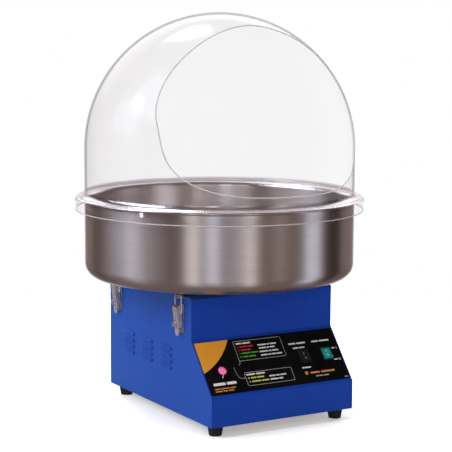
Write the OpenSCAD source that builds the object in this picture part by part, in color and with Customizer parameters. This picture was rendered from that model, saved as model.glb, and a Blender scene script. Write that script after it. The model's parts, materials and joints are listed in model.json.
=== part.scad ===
// Table-top cotton candy machine: a sloped-front cabinet, a round bowl held by four
// draw latches, a spinning sugar head on a vertical motor, and a lift-off clear dome.
// Millimetres. +Z is up, the control panel faces -Y, and the spinner's axis is x = y = 0.

/* [Cabinet] */
// Width across the side panels
cabinet_w = 374; // [366:1:382]
// Distance from the spinner's axis forward to the front lip
lip_front = 293; // [285:1:300]
// Distance from the spinner's axis forward to the upper front face
upper_front = 200; // [194:1:206]
// Distance from the spinner's axis back to the rear face
cabinet_back = 208; // [204:1:215]
// Height of the cabinet's bottom edge above the floor
foot_h = 25; // [22:1:28]
// Height of the top of the front lip
lip_z = 91; // [86:1:96]
// Height of the top of the sloped control panel
slope_top_z = 204; // [196:1:208]
// Height of the cabinet's top panel
cabinet_z = 300; // [300:1:304]
// Thickness of the cabinet's sheet metal
sheet = 1.5; // [1.2:0.1:1.8]

/* [Bowl] */
// Outer radius of the bowl's side wall
bowl_r = 319; // [317:0.5:320]
// Outer radius of the bowl's rolled rim
rim_r = 330; // [329.5:0.5:331]
// Height of the bowl's underside
bowl_z = 312.6; // [312.6:0.1:314]
// Height of the middle of the bowl's rolled rim
rim_z = 495.75; // [493:0.25:495.75]
// Radius of the corner between the bowl's floor and wall
bowl_corner = 32; // [24:1:36]

/* [Dome] */
// Outer radius of the clear dome
dome_r = 319; // [317:0.5:320]
// Height of the centre of the dome's round top
dome_centre_z = 612; // [606:1:620]
// Wall thickness of the dome
dome_t = 2.6; // [2:0.1:3]
// Half the width of the dome's front opening
opening_r = 257; // [240:1:260]
// Outer radius of the skirt that hangs outside the bowl's rim
skirt_r = 341; // [340:0.5:343]
// Height of the skirt's lower edge
skirt_z = 470.5; // [460:0.5:480]

/* [Spinner] */
// Outer radius of the spinning head
head_r = 68; // [64:1:70]
// Height of the underside of the spinning head
head_z = 366; // [360:1:372]
// Number of slots in the head's band
band_slots = 30; // [18:1:36]
// Number of folds in the heating ribbon
ribbon_folds = 36; // [24:1:44]

/* [Louvres] */
// Louvres in each column
louvre_rows = 4; // [3:1:5]
// Distance between louvres in a column
louvre_pitch = 15; // [14:0.5:17]

/* [Hidden] */

half_w = cabinet_w / 2;
slope_run = lip_front - upper_front;
slope_rise = slope_top_z - lip_z;
slope_angle = atan2(slope_rise, slope_run);
slope_len = norm([slope_run, slope_rise]);
bend_r = 4;
arc_steps = 5;
fit_gap = 0.3;
running_gap = 0.05;

foot_x = half_w - 27.4;
foot_front_y = 31 - lip_front;
foot_back_y = cabinet_back - 32.5;
foot_places = [
    [-foot_x, foot_front_y], [foot_x, foot_front_y],
    [-foot_x, foot_back_y], [foot_x, foot_back_y]
];
foot_top_r = 19;
foot_low_r = 14.5;
foot_screw_r = 2.5;

// Rocker switches, placed on the sloped panel by distance across it and up it
switch_w = 29;
switch_h = 34;
rocker_w = 23.4;
rocker_h = 28.6;
main_power_at = [145.5, 75];
heat_mode_at = [84, 74];
rocker_tilt = 9;
rocker_pivot_depth = 1;
overlay_t = 0.8;
bezel_t = 2.5;

// Draw latches: distances outward from the side panel and heights
latch_y = 155;
lever_pivot = [10.5, 271.5];
bail_pivot = [8, 263];
bail_bar = [9, 300];
bail_half_w = 14.5;
wire_r = 1.4;
pin_r = 2;
lever_half_w = 10;
lever_sheet = 1.4;
ear_half_w = 8.2;
eye_z = 236;
latch_corners = [[-1, -1], [1, -1], [-1, 1], [1, 1]];

bead_r = 3.25;
bowl_t = 1.5;
collar_r = 50;
flange_top_z = 501.8;
flange_t = 3;
dome_fillet = 12;

shaft_r = 8;
plate_z = 262;
plate_t = 3;
isolator_xy = 80;
stud_r = 4;
bolt_circle = 78;
bell_r = 84;
bell_t = 6;
shell_r = 71;
rotor_r = 41.4;
bearing_r = 17.5;

// ---------------------------------------------------------------- helpers

function unit(v) = v / norm(v);

// Points of a round corner at p between a and b
function corner_arc(a, p, b, r) =
    let (u = unit(a - p), v = unit(b - p), half = acos(u * v) / 2)
    let (c = p + unit(u + v) * r / sin(half), s = p + u * r / tan(half) - c, e = p + v * r / tan(half) - c)
    let (a0 = atan2(s[1], s[0]), turn = (atan2(e[1], e[0]) - a0 + 540) % 360 - 180)
    [for (k = [0:arc_steps]) c + r * [cos(a0 + turn * k / arc_steps), sin(a0 + turn * k / arc_steps)]];

// A closed outline whose corners have the radii listed beside them
function rounded(pts, radii) =
    let (n = len(pts))
    [for (i = [0:n - 1]) each radii[i] == 0
        ? [pts[i]]
        : corner_arc(pts[(i + n - 1) % n], pts[i], pts[(i + 1) % n], radii[i])];

// A counter-clockwise outline moved inwards by d
function inset(pts, d) =
    let (n = len(pts))
    [for (i = [0:n - 1])
        let (u = unit(pts[i] - pts[(i + n - 1) % n]), v = unit(pts[(i + 1) % n] - pts[i]))
        let (nu = [-u[1], u[0]], nv = [-v[1], v[0]])
        pts[i] + d * (nu + nv) / (1 + nu * nv)];

// Extrudes a [y, z] outline along x, centred
module along_x(w) {
    translate([-w / 2, 0, 0]) rotate([90, 0, 90]) linear_extrude(w) children();
}

// Extrudes an [outward, z] outline of a latch along y, centred
module along_y(w) {
    translate([0, w / 2, 0]) rotate([90, 0, 0]) linear_extrude(w) children();
}

// Places children on the sloped panel: x across, y up the slope, z outward
module on_slope() {
    translate([0, -lip_front, lip_z]) rotate([slope_angle, 0, 0]) children();
}

// A box given by its low and high corners
module block(low, high) {
    translate(low) cube(high - low);
}

// A cylinder along z between two heights
module post(r, z0, z1) {
    translate([0, 0, z0]) cylinder(r = r, h = z1 - z0, $fn = 64);
}

// A cylinder along y between two places
module rod_y(r, y0, y1) {
    translate([0, y0, 0]) rotate([-90, 0, 0]) cylinder(r = r, h = y1 - y0, $fn = 48);
}

// A cylinder along x between two places
module rod_x(r, x0, x1) {
    translate([x0, 0, 0]) rotate([0, 90, 0]) cylinder(r = r, h = x1 - x0, $fn = 48);
}

// A hexagonal nut or head along z
module hex(r, z0, z1) {
    translate([0, 0, z0]) cylinder(r = r, h = z1 - z0, $fn = 6);
}

// ---------------------------------------------------------------- cabinet

function cabinet_outline() = [
    [-lip_front, foot_h], [cabinet_back - sheet, foot_h], [cabinet_back - sheet, cabinet_z],
    [-upper_front, cabinet_z], [-upper_front, slope_top_z], [-lip_front, lip_z]
];

louvre_w = 58;
louvre_out = 4.2;
louvre_round = 8;
louvre_columns = [-82, 11, 104];
louvre_low_z = 121;
louvre_end_r = 7;
top_hole_r = 120;
back_screw_x = half_w - 12;
back_screw_z = [45, 160, 282];
inlet_at = [110, 78];
inlet_w = 30;
inlet_h = 26;

// Every louvre's place on a side panel
module at_louvres() {
    for (y = louvre_columns, i = [0:louvre_rows - 1])
        translate([0, y, louvre_low_z + i * louvre_pitch]) children();
}

// A pressed hood, open underneath, standing outward along +x from x = 0
module louvre_hood() {
    sunk = louvre_round - louvre_out;
    intersection() {
        difference() {
            louvre_form(louvre_round, sunk);
            louvre_form(louvre_round - 1.2, sunk);
        }
        block([-sheet + 0.2, -louvre_w, 0], [10, louvre_w, 12]);
    }
}

// A rod with round ends, lying along y, its axis behind the panel
module louvre_form(r, sunk) {
    flat = louvre_w / 2 - louvre_end_r;
    translate([-sunk, 0, 0]) {
        rod_y(r, -flat, flat);
        for (s = [-1, 1]) translate([0, s * flat, 0]) sphere(r = r, $fn = 48);
    }
}

module cabinet_shell() {
    color("royalblue") {
        difference() {
            along_x(cabinet_w)
                polygon(rounded(cabinet_outline(), [0, 0, 0, bend_r, bend_r, bend_r]));
            along_x(cabinet_w - 2 * sheet)
                polygon(rounded(inset(cabinet_outline(), sheet),
                                [0, 0, 0, bend_r - sheet, bend_r + sheet, bend_r - sheet]));
            // open bottom for the pan, and an open back with a flange left round it
            block([-half_w + sheet, -lip_front + sheet, foot_h - 1],
                  [half_w - sheet, cabinet_back - 2 * sheet, foot_h + 2 * sheet]);
            block([-half_w + 20, cabinet_back - 4 * sheet, foot_h + 14],
                  [half_w - 20, cabinet_back, cabinet_z - 14]);
            translate([0, 0, cabinet_z]) cylinder(r = top_hole_r, h = 10, center = true, $fn = 96);
            for (x = [-1, 1], y = [-1, 1])
                translate([x * isolator_xy, y * isolator_xy, 0])
                    post(stud_r + 0.2, cabinet_z - 3, cabinet_z + 1);
            for (side = [-1, 1]) at_louvres()
                block([side * (half_w - sheet / 2) - sheet, -louvre_w / 2 + 2, 0.4],
                      [side * (half_w - sheet / 2) + sheet, louvre_w / 2 - 2, 6]);
            on_slope() for (at = [main_power_at, heat_mode_at])
                block([at[0] - rocker_w / 2 - 2.2, at[1] - rocker_h / 2 - 2.2, -4],
                      [at[0] + rocker_w / 2 + 2.2, at[1] + rocker_h / 2 + 2.2, 4]);
            for (c = latch_corners, z = rivet_heights)
                translate([0, c[1] * latch_y, z]) rod_x(1.6, c[0] * half_w - 4, c[0] * half_w + 4);
            for (x = [-1, 1], z = back_screw_z)
                translate([x * back_screw_x, 0, z]) rod_y(1.6, cabinet_back - 5, cabinet_back + 1);
        }
        for (side = [0, 1]) mirror([side, 0, 0]) at_louvres() translate([half_w, 0, 0]) louvre_hood();
    }
}

module back_panel() {
    color("royalblue") difference() {
        block([-half_w, cabinet_back - sheet, foot_h], [half_w, cabinet_back, cabinet_z]);
        for (i = [-3:3], z = [170, 205, 240])
            block([i * 40 - 14, cabinet_back - 5, z], [i * 40 + 14, cabinet_back + 1, z + 5]);
        for (x = [-1, 1], z = back_screw_z)
            translate([x * back_screw_x, 0, z]) rod_y(1.7, cabinet_back - 5, cabinet_back + 1);
        translate([inlet_at[0], 0, inlet_at[1]])
            block([-inlet_w / 2 - 0.2, cabinet_back - 5, -inlet_h / 2 - 0.2],
                  [inlet_w / 2 + 0.2, cabinet_back + 1, inlet_h / 2 + 0.2]);
    }
}

// Shallow tray that closes the bottom, with a vent under the motor
module base_pan() {
    low = [-half_w + sheet, -lip_front + sheet, foot_h];
    high = [half_w - sheet, cabinet_back - 2 * sheet, foot_h + 14];
    color("silver") difference() {
        block(low, high);
        block(low + [sheet, sheet, sheet], high + [-sheet, -sheet, 1]);
        for (p = foot_places) translate([p[0], p[1], 0]) post(foot_screw_r, foot_h - 1, foot_h + 4);
        for (i = [-4:4]) block([i * 24 - 4, -60, foot_h - 1], [i * 24 + 4, 60, foot_h + 4]);
    }
}

// Pan-head screws that hold the back panel
module panel_screws() {
    color("silver") for (x = [-1, 1], z = back_screw_z) translate([x * back_screw_x, 0, z]) {
        rod_y(1.6, cabinet_back - 10, cabinet_back);
        difference() {
            rod_y(3.6, cabinet_back, cabinet_back + 2);
            block([-2.4, cabinet_back + 1, -0.4], [2.4, cabinet_back + 3, 0.4]);
        }
    }
}

overlay_half_w = 184;
overlay_low = 7;
overlay_high = 139;

module control_overlay() {
    color("black") on_slope() difference() {
        linear_extrude(overlay_t) polygon(rounded(
            [[-overlay_half_w, overlay_low], [overlay_half_w, overlay_low],
             [overlay_half_w, overlay_high], [-overlay_half_w, overlay_high]], [2, 2, 2, 2]));
        for (at = [main_power_at, heat_mode_at])
            block([at[0] - rocker_w / 2 - 2.2, at[1] - rocker_h / 2 - 2.2, -1],
                  [at[0] + rocker_w / 2 + 2.2, at[1] + rocker_h / 2 + 2.2, 4]);
    }
}

// ---------------------------------------------------------------- feet

module foot(place) {
    recess_r = 6.5;
    color("black") translate([place[0], place[1], 0]) rotate_extrude($fn = 64) polygon([
        [recess_r, 0], [foot_low_r - 1, 0], [foot_low_r, 1.2],
        [foot_top_r - 1, foot_h - 3], [foot_top_r, foot_h],
        [foot_screw_r, foot_h], [foot_screw_r, 10], [recess_r, 10]]);
}

module foot_front_left() { foot(foot_places[0]); }
module foot_front_right() { foot(foot_places[1]); }
module foot_back_left() { foot(foot_places[2]); }
module foot_back_right() { foot(foot_places[3]); }

// A screw up through each foot, with its nut inside the cabinet
module foot_screws() {
    color("silver") for (p = foot_places) translate([p[0], p[1], 0]) {
        post(foot_screw_r, 10, foot_h + 12);
        difference() {
            post(5, 6.5, 10);
            block([-3.4, -0.6, 6], [3.4, 0.6, 8]);
            block([-0.6, -3.4, 6], [0.6, 3.4, 8]);
        }
        difference() {
            hex(5, foot_h + sheet, foot_h + sheet + 4);
            post(foot_screw_r, foot_h, foot_h + 8);
        }
    }
}

// ---------------------------------------------------------------- switches

// Bezel, walls and closed base of a rocker switch, around the origin of its place
module switch_body(at) {
    wall_w = rocker_w / 2 + 2;
    wall_h = rocker_h / 2 + 2;
    bezel_z = overlay_t + bezel_t;
    color("black") on_slope() translate([at[0], at[1], 0]) difference() {
        union() {
            block([-switch_w / 2, -switch_h / 2, overlay_t], [switch_w / 2, switch_h / 2, bezel_z]);
            block([-wall_w, -wall_h, -24], [wall_w, wall_h, bezel_z]);
        }
        block([-rocker_w / 2, -rocker_h / 2, -14], [rocker_w / 2, rocker_h / 2, bezel_z + 1]);
        translate([0, 0, -rocker_pivot_depth]) rod_x(1.5 + running_gap, -wall_w - 1, wall_w + 1);
    }
}

// A rocker with a shallow V face, pressed on its upper half, on two stub pins
module rocker(at, shade) {
    end_r = rocker_h / 2 - 0.4;
    width = rocker_w - 0.8;
    face = overlay_t + bezel_t + rocker_pivot_depth;
    color(shade) on_slope() translate([at[0], at[1], -rocker_pivot_depth]) rotate([-rocker_tilt, 0, 0]) {
        difference() {
            rod_x(end_r, -width / 2, width / 2);
            for (side = [0, 1]) mirror([0, side, 0]) rotate([rocker_tilt, 0, 0])
                block([-width, -0.01, face], [width, 2 * end_r, 2 * end_r]);
            block([-width, -2 * end_r, -2 * end_r], [width, 2 * end_r, -6]);
        }
        rod_x(1.5, -rocker_w / 2 - 1.6, rocker_w / 2 + 1.6);
    }
}

module main_power_switch() { switch_body(main_power_at); }
module heat_mode_switch() { switch_body(heat_mode_at); }
module main_power_rocker() { rocker(main_power_at, "mediumseagreen"); }
module heat_mode_rocker() { rocker(heat_mode_at, "dimgray"); }

// ---------------------------------------------------------------- draw latches

rivet_heights = [222, 252];

// Places a latch drawn with +x outward from the side panel and y = 0 at its middle
module at_latch(c) {
    mirror([c[0] < 0 ? 1 : 0, 0, 0]) translate([half_w, c[1] * latch_y, 0]) children();
}

// Riveted plate with two ears for the lever's pin and an eye for a padlock
module latch_base(c) {
    eye_r = 7;
    eye_out = 17;
    ear_r = 5.2;
    color("silver") at_latch(c) {
        difference() {
            block([0, -lever_half_w, 216], [1.5, lever_half_w, 281]);
            for (z = rivet_heights) translate([0, 0, z]) rod_x(1.6, -1, 3);
        }
        for (s = [-1, 1]) difference() {
            translate([0, s * (ear_half_w - 0.6), 0]) along_y(1.2) {
                polygon([[1.5, 262.5], [9.5, 266.4], lever_pivot, [9, 276.5], [1.5, 273.5]]);
                translate(lever_pivot) circle(r = ear_r, $fn = 48);
            }
            translate([lever_pivot[0], 0, lever_pivot[1]]) rod_y(pin_r, -20, 20);
        }
        difference() {
            union() {
                block([1.5, -1, eye_z - eye_r], [eye_out, 1, eye_z + eye_r]);
                translate([eye_out, 0, eye_z]) rod_y(eye_r, -1, 1);
            }
            translate([eye_out, 0, eye_z]) rod_y(3.5, -3, 3);
        }
    }
}

// Pressed channel lever with a slot for the eye and a rounded finger tongue
module latch_lever(c) {
    web = [[18.8, 276], [9, 279], [4.5, 275.5], [4, 262], [3.5, 230], [12.5, 226]];
    tongue_r = 9;
    color("gainsboro") at_latch(c) {
        difference() {
            along_y(2 * lever_half_w) polygon(rounded(web, [3, 2, 2, 0, 0, 0]));
            along_y(2 * (lever_half_w - lever_sheet))
                polygon([[17.5, 276.5], [17.5, 300], [-5, 300], [-5, 200], [10.5, 200], [11.1, 226]]);
            block([2, -2, 226.4], [30, 2, 246]);
            translate([lever_pivot[0], 0, lever_pivot[1]]) rod_y(pin_r + running_gap, -20, 20);
            translate([bail_pivot[0], 0, bail_pivot[1]]) rod_y(wire_r + running_gap, -20, 20);
        }
        intersection() {
            along_y(2 * tongue_r)
                polygon([[12.5, 226], [11.1, 226], [10.6, 219], [11.4, 208], [12.8, 208], [12, 219]]);
            union() {
                block([5, -tongue_r, 218], [20, tongue_r, 230]);
                translate([0, 0, 218]) rod_x(tongue_r, 5, 20);
            }
        }
    }
}

// Wire loop: a bar over the strike, two arms, and ends turned in to the lever
module latch_bail(c) {
    arm = bail_bar - bail_pivot;
    color("lightgray") at_latch(c) {
        for (s = [-1, 1]) {
            translate([bail_pivot[0], s * bail_half_w, bail_pivot[1]])
                rotate([0, atan2(arm[0], arm[1]), 0]) cylinder(r = wire_r, h = norm(arm), $fn = 32);
            translate([bail_pivot[0], 0, bail_pivot[1]])
                rod_y(wire_r, s > 0 ? ear_half_w + 0.4 : -bail_half_w,
                      s > 0 ? bail_half_w : -ear_half_w - 0.4);
            for (p = [bail_pivot, bail_bar])
                translate([p[0], s * bail_half_w, p[1]]) sphere(r = wire_r, $fn = 32);
        }
        translate([bail_bar[0], 0, bail_bar[1]]) rod_y(wire_r, -bail_half_w, bail_half_w);
    }
}

module latch_base_front_left() { latch_base(latch_corners[0]); }
module latch_base_front_right() { latch_base(latch_corners[1]); }
module latch_base_back_left() { latch_base(latch_corners[2]); }
module latch_base_back_right() { latch_base(latch_corners[3]); }
module latch_lever_front_left() { latch_lever(latch_corners[0]); }
module latch_lever_front_right() { latch_lever(latch_corners[1]); }
module latch_lever_back_left() { latch_lever(latch_corners[2]); }
module latch_lever_back_right() { latch_lever(latch_corners[3]); }
module latch_bail_front_left() { latch_bail(latch_corners[0]); }
module latch_bail_front_right() { latch_bail(latch_corners[1]); }
module latch_bail_back_left() { latch_bail(latch_corners[2]); }
module latch_bail_back_right() { latch_bail(latch_corners[3]); }

// One headed pin through each latch's ears and lever
module latch_pins() {
    head_y = lever_half_w + fit_gap;
    color("silver") for (c = latch_corners) at_latch(c) translate([lever_pivot[0], 0, lever_pivot[1]]) {
        rod_y(pin_r, -head_y, head_y);
        for (s = [-1, 1]) rod_y(3.2, s > 0 ? head_y : -head_y - 1, s > 0 ? head_y + 1 : -head_y);
    }
}

// Rivets that hold each latch's base to the side panel
module latch_rivets() {
    color("silver") for (c = latch_corners, z = rivet_heights) at_latch(c) translate([0, 0, z]) {
        rod_x(1.6, -sheet, 1.5);
        rod_x(3.2, 1.5, 2.6);
        rod_x(3, -sheet - 1.2, -sheet);
    }
}

// Angle under the bowl at each latch, with a shelf for the bail's bar
module bowl_strikes() {
    shelf_z = 296;
    color("silver") for (c = latch_corners) at_latch(c) along_y(20) polygon([
        [-16, bowl_z], [-16, bowl_z - 1.5], [2, bowl_z - 1.5], [2, shelf_z], [14, shelf_z - 0.6],
        [14, shelf_z + 0.9], [3.5, shelf_z + 1.5], [3.5, bowl_z]]);
}

// ---------------------------------------------------------------- bowl

// A quarter of a round band in a turned profile, from angle a to a + 90
module quarter_band(c, r_out, r_in, a) {
    translate(c) rotate(a) intersection() {
        difference() {
            circle(r = r_out, $fn = 96);
            circle(r = r_in, $fn = 96);
        }
        square(2 * r_out);
    }
}

module bowl() {
    inner_r = bowl_r - bowl_t;
    corner_r = bowl_r - bowl_corner;
    flare_r = rim_r - bead_r - bowl_r;
    flare_z = rim_z + bead_r - flare_r - bowl_t;
    color("silver") rotate_extrude($fn = 180) {
        translate([collar_r, bowl_z]) square([corner_r - collar_r, bowl_t]);
        translate([collar_r, bowl_z]) square([bowl_t, 20]);
        quarter_band([corner_r, bowl_z + bowl_corner], bowl_corner, bowl_corner - bowl_t, -90);
        translate([inner_r, bowl_z + bowl_corner]) square([bowl_t, flare_z - bowl_z - bowl_corner]);
        quarter_band([bowl_r + flare_r, flare_z], flare_r + bowl_t, flare_r, 90);
        difference() {
            translate([rim_r - bead_r, rim_z]) circle(r = bead_r, $fn = 48);
            translate([rim_r - bead_r, rim_z]) circle(r = bead_r - 1.2, $fn = 48);
        }
    }
}

// Rubber ring that the bowl stands on, with slots that drain it
module bowl_ring() {
    color("black") difference() {
        post(183, cabinet_z, bowl_z);
        post(166, cabinet_z - 1, bowl_z + 1);
        for (i = [0:15]) rotate([0, 0, i * 22.5]) block([160, -3, cabinet_z - 1], [190, 3, cabinet_z + 4]);
    }
}

// ---------------------------------------------------------------- dome

opening_centre_z = dome_centre_z + 82;
opening_rise = 207.5;
opening_drop = 165.5;
opening_steps = 48;

// A sine or cosine drawn out for a superellipse of power n
function drawn(t, n) = sign(t) * pow(abs(t), 2 / n);

// Front outline of the opening: narrower towards the top, with round corners and a level sill below
function opening_outline() = [for (k = [0:2 * opening_steps - 1])
    let (a = 180 * k / opening_steps, n = a < 180 ? 1.77 : 3.36, h = a < 180 ? opening_rise : opening_drop)
    [opening_r * drawn(cos(a), n), h * drawn(sin(a), n)]];

module dome() {
    inner_r = dome_r - dome_t;
    fillet_z = flange_top_z + dome_fillet;
    corner = 5;
    color("white", 0.3) difference() {
        rotate_extrude($fn = 180) {
            intersection() {
                difference() {
                    translate([0, dome_centre_z]) circle(r = dome_r, $fn = 240);
                    translate([0, dome_centre_z]) circle(r = inner_r, $fn = 240);
                }
                translate([0, dome_centre_z]) square(dome_r + 1);
            }
            translate([inner_r, fillet_z]) square([dome_t, dome_centre_z - fillet_z]);
            quarter_band([dome_r + dome_fillet, fillet_z], dome_fillet + dome_t, dome_fillet, 180);
            translate([dome_r + dome_fillet, flange_top_z - dome_t])
                square([skirt_r - corner - dome_r - dome_fillet, dome_t]);
            quarter_band([skirt_r - corner, flange_top_z - corner], corner, corner - dome_t, 0);
            translate([skirt_r - dome_t, skirt_z]) square([dome_t, flange_top_z - corner - skirt_z]);
        }
        translate([0, -100, opening_centre_z]) rotate([90, 0, 0])
            linear_extrude(300) polygon(opening_outline());
    }
}

clip_angles = [-60, 60, -120, 120];
clip_z = 490;

// Small clips on the skirt that mark where it sits on the rim
module dome_clips() {
    color("white") for (a = clip_angles) rotate([0, 0, a]) difference() {
        block([-4.5, -skirt_r - 1.2, clip_z - 5], [4.5, -skirt_r, clip_z + 5]);
        block([-2.5, -skirt_r - 2, clip_z - 1.5], [2.5, -skirt_r - 0.7, clip_z + 1.5]);
    }
}

// ---------------------------------------------------------------- spinning head

base_t = 4;
ribbon_z = head_z + base_t + 4;
ribbon_h = 24;
cap_z = ribbon_z + ribbon_h + 4;
cup_r = 36;
head_screw_circle = 46;

module head_base() {
    color("silver") difference() {
        rotate_extrude($fn = 96) {
            translate([shaft_r, head_z]) square([head_r - shaft_r, base_t]);
            translate([shaft_r, head_z - 16]) square([9, 16]);
        }
        for (i = [0:3]) rotate([0, 0, 45 + 90 * i]) translate([head_screw_circle, 0, 0]) post(2.1, head_z - 1, head_z + 6);
    }
}

// Folded heating ribbon, a zigzag wall round the head
module heating_ribbon() {
    in_r = 54;
    out_r = 60;
    thick = 1.2;
    steps = 2 * ribbon_folds;
    color("sienna") translate([0, 0, ribbon_z]) linear_extrude(ribbon_h) difference() {
        polygon([for (k = [0:steps - 1]) (k % 2 == 0 ? out_r : in_r + thick) * [cos(k * 360 / steps), sin(k * 360 / steps)]]);
        polygon([for (k = [0:steps - 1]) (k % 2 == 0 ? out_r - thick : in_r) * [cos(k * 360 / steps), sin(k * 360 / steps)]]);
    }
}

module insulator_rings() {
    color("ivory") for (z = [head_z + base_t, ribbon_z + ribbon_h]) difference() {
        post(62, z, z + 4);
        post(51, z - 1, z + 5);
    }
}

module head_band() {
    color("silver") difference() {
        post(head_r, head_z + base_t, cap_z);
        post(head_r - 1.2, head_z, cap_z + 1);
        for (i = [0:band_slots - 1]) rotate([0, 0, i * 360 / band_slots])
            block([head_r - 4, -1.2, ribbon_z + 2], [head_r + 2, 1.2, ribbon_z + ribbon_h - 2]);
    }
}

module head_cap() {
    color("silver") difference() {
        rotate_extrude($fn = 96) polygon([
            [cup_r, cap_z], [head_r, cap_z], [head_r, cap_z + 3], [head_r - 2, cap_z + 5], [cup_r + 6, cap_z + 8], [cup_r, cap_z + 8]]);
        for (i = [0:3]) rotate([0, 0, 45 + 90 * i]) translate([head_screw_circle, 0, 0]) post(2.1, cap_z - 1, cap_z + 20);
    }
}

// Open cup in the middle of the head that takes the sugar, with outlets at its foot
module sugar_cup() {
    floor_z = head_z + base_t;
    color("silver") difference() {
        post(cup_r, floor_z, cap_z + 10);
        post(cup_r - 1.5, floor_z + 2, cap_z + 11);
        post(shaft_r, floor_z - 1, floor_z + 3);
        for (i = [0:11]) rotate([0, 0, 30 * i]) block([cup_r - 4, -3, floor_z + 2], [cup_r + 2, 3, floor_z + 9]);
    }
}

module head_screws() {
    head_top = cap_z + 8;
    color("silver") for (i = [0:3]) rotate([0, 0, 45 + 90 * i]) translate([head_screw_circle, 0, 0]) {
        post(2.1, head_z - 3, head_top);
        difference() {
            post(3.6, head_top, head_top + 2.2);
            block([-2.6, -0.4, head_top + 1.2], [2.6, 0.4, head_top + 3]);
        }
        difference() {
            hex(4, head_z - 3, head_z);
            post(2.1, head_z - 4, head_z + 1);
        }
    }
}

module head_nut() {
    seat = head_z + base_t + 2;
    color("silver") difference() {
        union() {
            hex(13, seat, seat + 8);
            post(11, seat + 8, seat + 12);
        }
        post(shaft_r, seat - 1, seat + 9);
    }
}

// ---------------------------------------------------------------- drive

module drive_shaft() {
    color("lightgray") post(shaft_r, 80, head_z + base_t + 10);
}

module motor_rotor() {
    color("slategray") difference() {
        union() {
            post(rotor_r, 178, 240);
            post(rotor_r - 5, 174, 244);
        }
        post(shaft_r, 170, 250);
        for (i = [0:17]) rotate([0, 0, 20 * i]) block([rotor_r - 1.2, -0.8, 170], [rotor_r + 1, 0.8, 250]);
    }
}

module cooling_fan() {
    color("dimgray") {
        difference() {
            union() {
                post(14, 128, 150);
                post(56, 128, 130);
            }
            post(shaft_r, 120, 160);
        }
        for (i = [0:9]) rotate([0, 0, 36 * i]) block([12, -1, 130], [54, 1, 148]);
    }
}

module slip_ring_hub() {
    color("darkred") difference() {
        rotate_extrude($fn = 64) {
            translate([shaft_r, 84]) square([14, 38]);
            for (z = [84, 100, 117]) translate([22, z]) square([6, z == 100 ? 6 : 5]);
        }
        post(shaft_r, 80, 130);
    }
}

ring_heights = [89, 106];
ring_h = 11;

module slip_rings() {
    color("goldenrod") for (z = ring_heights) difference() {
        post(27, z, z + ring_h);
        post(22, z - 1, z + ring_h + 1);
    }
}

module motor_shell() {
    color("dimgray") difference() {
        post(shell_r, 162, 256);
        post(shell_r - 3, 160, 258);
        for (i = [0:11], z = [168, 241]) rotate([0, 0, 30 * i]) block([60, -6, z], [80, 6, z + 9]);
    }
}

module stator_core() {
    color("slategray") difference() {
        post(shell_r - 3, 182, 236);
        post(rotor_r + 0.6, 180, 240);
        for (i = [0:17]) rotate([0, 0, 20 * i]) block([rotor_r - 1, -2, 180], [60, 2, 240]);
    }
}

module stator_windings() {
    color("chocolate") for (z = [169, 236]) difference() {
        post(62, z, z + 13);
        post(46, z - 1, z + 14);
    }
}

module end_bell(z, boss_z) {
    difference() {
        union() {
            post(bell_r, z, z + bell_t);
            post(26, boss_z, boss_z + 12);
        }
        children();
        for (i = [0:3]) rotate([0, 0, 90 * i]) translate([bolt_circle, 0, 0]) post(2.5, z - 1, z + bell_t + 1);
    }
}

module upper_end_bell() {
    color("silver") end_bell(256, 245) {
        post(bearing_r, 240, 257);
        post(14, 250, 270);
    }
}

module lower_end_bell() {
    color("silver") end_bell(156, 161) {
        post(bearing_r, 162, 180);
        post(14, 150, 170);
    }
}

bearing_heights = [246, 162];
bearing_h = 11;

module bearings() {
    color("gainsboro") for (z = bearing_heights) difference() {
        post(bearing_r, z, z + bearing_h);
        post(shaft_r + running_gap, z - 1, z + bearing_h + 1);
        for (end = [z - 1, z + bearing_h - 1]) difference() {
            post(bearing_r - 2.5, end, end + 2);
            post(shaft_r + 2.5, end - 1, end + 3);
        }
    }
}

module motor_bolts() {
    color("silver") for (i = [0:3]) rotate([0, 0, 90 * i]) translate([bolt_circle, 0, 0]) {
        post(2.5, 156, plate_z + plate_t + 8);
        hex(5, 152, 156);
        difference() {
            hex(5, plate_z + plate_t, plate_z + plate_t + 4);
            post(2.5, plate_z, plate_z + plate_t + 9);
        }
    }
}

module motor_plate() {
    half = 100;
    color("gray") difference() {
        translate([0, 0, plate_z]) linear_extrude(plate_t)
            polygon(rounded([[-half, -half], [half, -half], [half, half], [-half, half]], [12, 12, 12, 12]));
        post(24, plate_z - 1, plate_z + plate_t + 1);
        for (i = [0:3]) rotate([0, 0, 90 * i]) translate([bolt_circle, 0, 0]) post(2.5, plate_z - 1, plate_z + 5);
        for (x = [-1, 1], y = [-1, 1])
            translate([x * isolator_xy, y * isolator_xy, 0]) post(stud_r, plate_z - 1, plate_z + 5);
    }
}

// Rubber buffers that hang the motor plate from the cabinet's top
module isolators() {
    top = cabinet_z - sheet;
    color("black") for (x = [-1, 1], y = [-1, 1]) translate([x * isolator_xy, y * isolator_xy, 0])
        rotate_extrude($fn = 48) polygon([
            [0, plate_z + plate_t], [14, plate_z + plate_t], [11, (plate_z + plate_t + top) / 2], [14, top], [0, top]]);
}

// A threaded stud and nut at each end of every buffer
module isolator_studs() {
    top = cabinet_z - sheet;
    color("silver") for (x = [-1, 1], y = [-1, 1]) translate([x * isolator_xy, y * isolator_xy, 0]) {
        post(stud_r, top, cabinet_z + 7);
        post(stud_r, plate_z - 9, plate_z + plate_t);
        difference() {
            hex(7.5, cabinet_z, cabinet_z + 5);
            post(stud_r, cabinet_z - 1, cabinet_z + 8);
        }
        difference() {
            hex(7.5, plate_z - 6, plate_z);
            post(stud_r, plate_z - 10, plate_z + 1);
        }
    }
}

brush_w = 8;
brush_gap = 0.3;

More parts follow.
